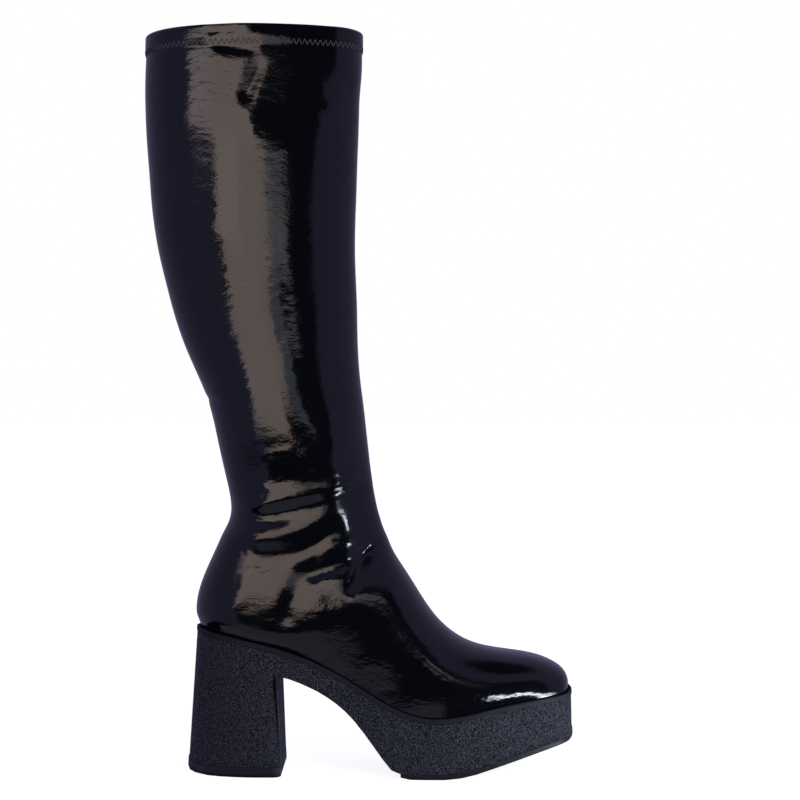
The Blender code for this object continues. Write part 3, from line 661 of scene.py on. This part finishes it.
floor_form = bmesh.new()
bmesh.ops.create_grid(floor_form, x_segments=1, y_segments=1, size=FLOOR_SIZE / 2)
floor_mesh = bpy.data.meshes.new("floor")
floor_form.to_mesh(floor_mesh)
floor_form.free()
floor_mesh.materials.append(pale_floor())
floor = bpy.data.objects.new("floor", floor_mesh)
floor.visible_glossy = False
floor.visible_diffuse = False
bpy.context.scene.collection.objects.link(floor)


# spread: how wide the light goes out; diffuse and glossy: whether it lights a dull finish, and
# whether it is mirrored in a shiny one.
Lamp = namedtuple("Lamp", "place target breadth height tint radiance spread diffuse glossy")
WARM = (1.0, 0.82, 0.74)
COOL = (0.80, 0.90, 1.0)
PALE = (0.94, 0.93, 1.0)
DUSK = (0.78, 0.74, 1.0)
FRESH = (0.93, 0.96, 1.0)
WIDE = math.pi
TOE_SPREAD = math.radians(64)
GLINT_SPREAD = math.radians(10)


def softbox(name, lamp):
    """Rectangular light of an even radiance, turned to its target and unseen by the camera."""
    light = bpy.data.lights.new(name, "AREA")
    light.shape = "RECTANGLE"
    light.size, light.size_y = lamp.breadth, lamp.height
    light.color = lamp.tint
    light.energy = lamp.radiance * math.pi * lamp.breadth * lamp.height
    light.spread = lamp.spread
    box = bpy.data.objects.new(name, light)
    box.location = lamp.place
    box.rotation_euler = (Vector(lamp.target) - Vector(lamp.place)).to_track_quat("-Z", "Y").to_euler()
    box.visible_camera = False
    box.visible_diffuse = lamp.diffuse
    box.visible_glossy = lamp.glossy
    bpy.context.scene.collection.objects.link(box)


# The key is a bank of panels edge to edge in one plane that leans back: its foot stands close to
# the boot and its head far off. low and high: how far up the plane a panel goes, foot 0 and head 1.
KEY_FOOT = Vector((0.0, -0.42, 0.175))
KEY_HEAD = Vector((0.0, -1.20, 0.80))
Panel = namedtuple("Panel", "low high left right tint radiance")
KEY = {
    "key_heel": Panel(-0.085, 0.26, -0.33, -0.03, WARM, 2.1),
    "key_low": Panel(0.035, 0.26, -0.03, 0.04, WARM, 1.9),
    "key_low_edge": Panel(0.035, 0.26, 0.04, 0.15, COOL, 0.7),
    "key_left": Panel(0.26, 0.54, -0.43, -0.16, WARM, 2.5),
    "key_middle": Panel(0.26, 0.54, -0.16, 0.10, WARM, 2.1),
    "key_right": Panel(0.26, 0.54, 0.10, 0.32, PALE, 1.1),
    "key_shoulder": Panel(0.54, 0.585, -0.56, 0.14, WARM, 2.3),
    "key_neck": Panel(0.585, 0.63, -0.80, 0.08, WARM, 2.3),
    "key_high": Panel(0.63, 1.05, -1.1, 0.03, WARM, 2.3),
}
rise = KEY_HEAD - KEY_FOOT
for name, panel in KEY.items():
    middle = KEY_FOOT + rise * (panel.low + panel.high) / 2
    middle.x = (panel.left + panel.right) / 2
    facing = middle + rise.cross(Vector((1.0, 0.0, 0.0)))
    breadth, height = panel.right - panel.left, rise.length * (panel.high - panel.low)
    softbox(name, Lamp(middle, facing, breadth, height, panel.tint, panel.radiance, WIDE, False, True))

# Small lamps: the streak along the toe, the glints in the ankle's folds, the lit floor by the boot
# that the low parts mirror, the grazing light on the sole's pebble, and a fill for the dull pieces
SMALL_LAMPS = {
    "toe_strip": Lamp(
        (0.205, -0.144, 0.038), (0.125, -0.014, 0.05), 0.15, 0.011, COOL, 3.3, TOE_SPREAD, False, True
    ),
    "glint": Lamp(
        (0.45, -0.41, 0.23), (-0.005, -0.03, 0.14), 0.07, 0.07, COOL, 0.1, GLINT_SPREAD, False, True
    ),
    "near_floor": Lamp((-0.07, -0.18, 0.002), (-0.07, -0.18, 1.0), 0.26, 0.32, DUSK, 0.36, WIDE, False, True),
    "sole_strip": Lamp((0.27, -0.13, 0.012), (0.07, -0.04, 0.025), 0.12, 0.02, COOL, 37.0, WIDE, True, True),
    "fill": Lamp((1.1, -1.5, 0.7), (0.0, 0.0, 0.1), 1.2, 1.2, FRESH, 3.0, WIDE, True, False),
}
for name, lamp in SMALL_LAMPS.items():
    softbox(name, lamp)

# The room is a dim blue all round, but dark round the key, straight overhead and at the boot's foot.
# Angles are in radians from the camera's side, heights the sine of the elevation.
GAP_LEFT, GAP_RIGHT, GAP_TOP = -0.45, 0.90, 0.6
UNDER_LEFT, UNDER_TOP = -0.50, 0.15
AT_FOOT = -0.42
ZENITH = 0.88
BEHIND, BEHIND_SOFT = 0.3, 0.5
SOFT_EDGE = 0.05
world = bpy.data.worlds.new("room")
bpy.context.scene.world = world
world.use_nodes = True
room = world.node_tree
way = node(room, "ShaderNodeSeparateXYZ", {0: node(room, "ShaderNodeTexCoord").outputs["Generated"]})
towards = node(room, "ShaderNodeMath", {0: way.outputs["Y"], 1: -1.0}, operation="MULTIPLY")
angle = node(
    room, "ShaderNodeMath", {0: way.outputs["X"], 1: towards.outputs["Value"]}, operation="ARCTAN2"
).outputs["Value"]


def past(value, edge, softness):
    """Room mask that goes from 0 to 1 as the value passes the edge; a negative softness turns it round."""
    return node(
        room, "ShaderNodeMapRange",
        {"Value": value, "From Min": edge - softness, "From Max": edge + softness},
        interpolation_type="SMOOTHSTEP",
    ).outputs["Result"]


def both(first, second, operation="MULTIPLY"):
    """Two room masks joined into one."""
    return node(room, "ShaderNodeMath", {0: first, 1: second}, operation=operation).outputs["Value"]


right_end = past(angle, GAP_RIGHT, -SOFT_EDGE)
beside = both(both(past(angle, GAP_LEFT, SOFT_EDGE), right_end), past(way.outputs["Z"], GAP_TOP, -SOFT_EDGE))
below_top = past(way.outputs["Z"], UNDER_TOP, -SOFT_EDGE)
under = both(both(past(angle, UNDER_LEFT, SOFT_EDGE), right_end), below_top)
above = past(way.outputs["Z"], ZENITH, SOFT_EDGE)
at_foot = past(way.outputs["Z"], AT_FOOT, -SOFT_EDGE)
dark = both(both(beside, under, "MAXIMUM"), both(above, at_foot, "MAXIMUM"), "MAXIMUM")
behind = past(way.outputs["Y"], BEHIND, BEHIND_SOFT)
walls = node(room, "ShaderNodeMixRGB", {"Fac": behind, "Color1": ROOM, "Color2": BACK_ROOM})
dim = node(room, "ShaderNodeMixRGB", {"Fac": dark, "Color1": walls.outputs["Color"], "Color2": DARK_ROOM})
seen = node(room, "ShaderNodeLightPath").outputs["Is Camera Ray"]
shade = node(room, "ShaderNodeMixRGB", {"Fac": seen, "Color1": dim.outputs["Color"], "Color2": SURROUND})
room.links.new(shade.outputs["Color"], room.nodes["Background"].inputs["Color"])

# Camera
# Straight on the outer side, level with the middle of the boot, as in the photograph. The lens is
# set so that the boot fills the frame as it does there.
CAMERA_PLACE = (0.0265, -1.15, 0.240)
PHOTO_WIDTH = 0.524        # breadth of the boot's middle plane that fills the frame
SENSOR_WIDTH = 36.0
camera_data = bpy.data.cameras.new("camera")
camera_data.sensor_width = SENSOR_WIDTH
camera_data.lens = SENSOR_WIDTH * -CAMERA_PLACE[1] / PHOTO_WIDTH
camera = bpy.data.objects.new("camera", camera_data)
camera.location = CAMERA_PLACE
camera.rotation_euler = (math.pi / 2, 0.0, 0.0)
bpy.context.scene.collection.objects.link(camera)
bpy.context.scene.camera = camera
bpy.context.scene.view_settings.view_transform = "Standard"
